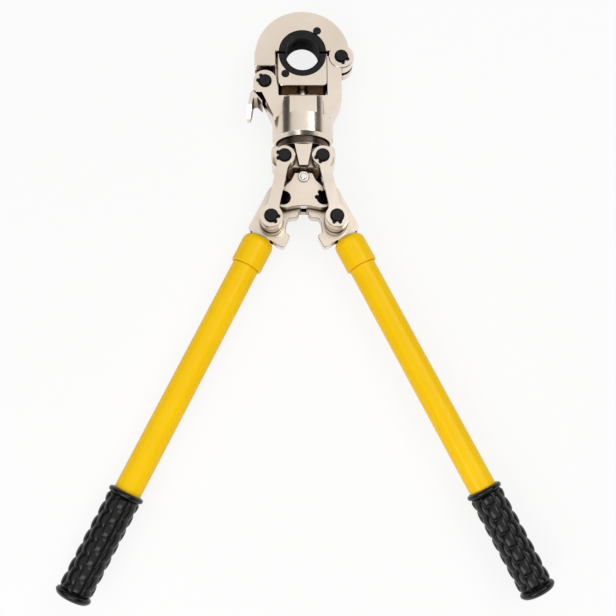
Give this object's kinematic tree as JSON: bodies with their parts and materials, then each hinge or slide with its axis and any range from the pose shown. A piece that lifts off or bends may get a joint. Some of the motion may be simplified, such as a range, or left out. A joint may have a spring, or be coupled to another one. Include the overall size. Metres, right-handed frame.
{
  "type": "crimping tool",
  "caption": "Long-handled toggle crimping tool with a flip-open C-shaped jaw, split round dies, a latch, a swivelling head, and yellow tube handles with black rubber grips.",
  "frame": {"origin": "centre of the crimping bore of the upper die, on the mid-plane of the head", "axes": "+X towards the jaw hinge, +Y from the handles towards the head, +Z out of the front face; the tool lies on its back"},
  "size_m": [0.483, 0.6163, 0.065],
  "materials": {
    "plated_steel": "satin nickel plating over forged and machined steel",
    "black_oxide": "black oxide on hardened steel",
    "bright_steel": "ground steel",
    "yellow_paint": "glossy yellow enamel",
    "grip_rubber": "glossy moulded rubber"
  },
  "bodies": {
    "head": {"head_frame": "plated_steel", "jaw_hinge_pin": "black_oxide", "jaw_hinge_circlips": "black_oxide", "latch_pin": "black_oxide", "latch_pin_circlips": "black_oxide", "swivel_snap_ring": "black_oxide", "swivel_thrust_washer": "black_oxide"},
    "jaw": {"upper_jaw": "plated_steel", "upper_die": "black_oxide", "latch_catch_pin": "bright_steel", "upper_button_spring": "bright_steel"},
    "upper_button": {"upper_lock_button": "black_oxide"},
    "latch": {"latch_lever": "plated_steel", "latch_spring": "bright_steel"},
    "die_slide": {"die_holder": "plated_steel", "lower_die": "black_oxide", "lower_button_spring": "bright_steel"},
    "lower_button": {"lower_lock_button": "black_oxide"},
    "linkage": {"yoke": "plated_steel", "yoke_pins": "black_oxide", "yoke_pin_circlips": "black_oxide"},
    "ram_assembly": {"ram": "bright_steel", "front_centre_plate": "plated_steel", "rear_centre_plate": "plated_steel", "centre_bolt": "bright_steel", "centre_nut": "bright_steel", "handle_pivot_pins": "black_oxide", "handle_pivot_circlips": "black_oxide"},
    "left_links": {"left_front_link": "plated_steel", "left_rear_link": "plated_steel", "left_link_spacers": "plated_steel", "left_link_pin": "black_oxide", "left_link_pin_circlips": "black_oxide"},
    "right_links": {"right_front_link": "plated_steel", "right_rear_link": "plated_steel", "right_link_spacers": "plated_steel", "right_link_pin": "black_oxide", "right_link_pin_circlips": "black_oxide"},
    "left_handle": {"left_handle_plate": "plated_steel", "left_socket": "yellow_paint", "left_tube": "yellow_paint", "left_grip": "grip_rubber"},
    "right_handle": {"right_handle_plate": "plated_steel", "right_socket": "yellow_paint", "right_tube": "yellow_paint", "right_grip": "grip_rubber"}
  },
  "joints": [
    {"name": "head_swivel", "type": "hinge", "parent": "head", "child": "linkage", "pos_m": [0, -0.0976, 0], "axis": [0, 1, 0], "continuous": true},
    {"name": "ram_slide", "type": "slide", "parent": "linkage", "child": "ram_assembly", "axis": [0, 1, 0], "range_m": [-0.0022, 0.0022]},
    {"name": "right_handle_swing", "type": "hinge", "parent": "ram_assembly", "child": "right_handle", "pos_m": [0.02065, -0.1635, 0], "axis": [0, 0, 1], "range_deg": [-22, 18]},
    {"name": "left_handle_swing", "type": "hinge", "parent": "ram_assembly", "child": "left_handle", "pos_m": [-0.02065, -0.1635, 0], "axis": [0, 0, -1], "range_deg": [-22, 18]},
    {"name": "right_link_swing", "type": "hinge", "parent": "linkage", "child": "right_links", "pos_m": [0.0196, -0.1222, 0], "axis": [0, 0, 1], "range_deg": [-8, 6.6]},
    {"name": "left_link_swing", "type": "hinge", "parent": "linkage", "child": "left_links", "pos_m": [-0.0196, -0.1222, 0], "axis": [0, 0, -1], "range_deg": [-8, 6.6]},
    {"name": "die_travel", "type": "slide", "parent": "head", "child": "die_slide", "axis": [0, 1, 0], "range_m": [-0.0022, 0.0022]},
    {"name": "jaw_opening", "type": "hinge", "parent": "head", "child": "jaw", "pos_m": [0.0415, -0.0049, 0], "axis": [0, 0, -1], "range_deg": [0, 110]},
    {"name": "latch_release", "type": "hinge", "parent": "head", "child": "latch", "pos_m": [-0.0402, -0.0334, 0], "axis": [0, 0, 1], "range_deg": [0, 6], "stiffness_Nm_per_rad": 0.5},
    {"name": "upper_button_press", "type": "slide", "parent": "jaw", "child": "upper_button", "axis": [0, 0, -1], "range_m": [0, 0.0025], "stiffness_N_per_m": 600, "deforming": ["upper_button_spring"]},
    {"name": "lower_button_press", "type": "slide", "parent": "die_slide", "child": "lower_button", "axis": [0, 0, -1], "range_m": [0, 0.0025], "stiffness_N_per_m": 600, "deforming": ["lower_button_spring"]}
  ],
  "couplings": [
    {"joint": "left_handle_swing", "follows": "right_handle_swing", "ratio": 1},
    {"joint": "ram_slide", "follows": "right_handle_swing", "m_per_rad": -0.0055},
    {"joint": "die_travel", "follows": "right_handle_swing", "m_per_rad": -0.0055},
    {"joint": "right_link_swing", "follows": "right_handle_swing", "ratio": 0.36},
    {"joint": "left_link_swing", "follows": "right_handle_swing", "ratio": 0.36}
  ]
}
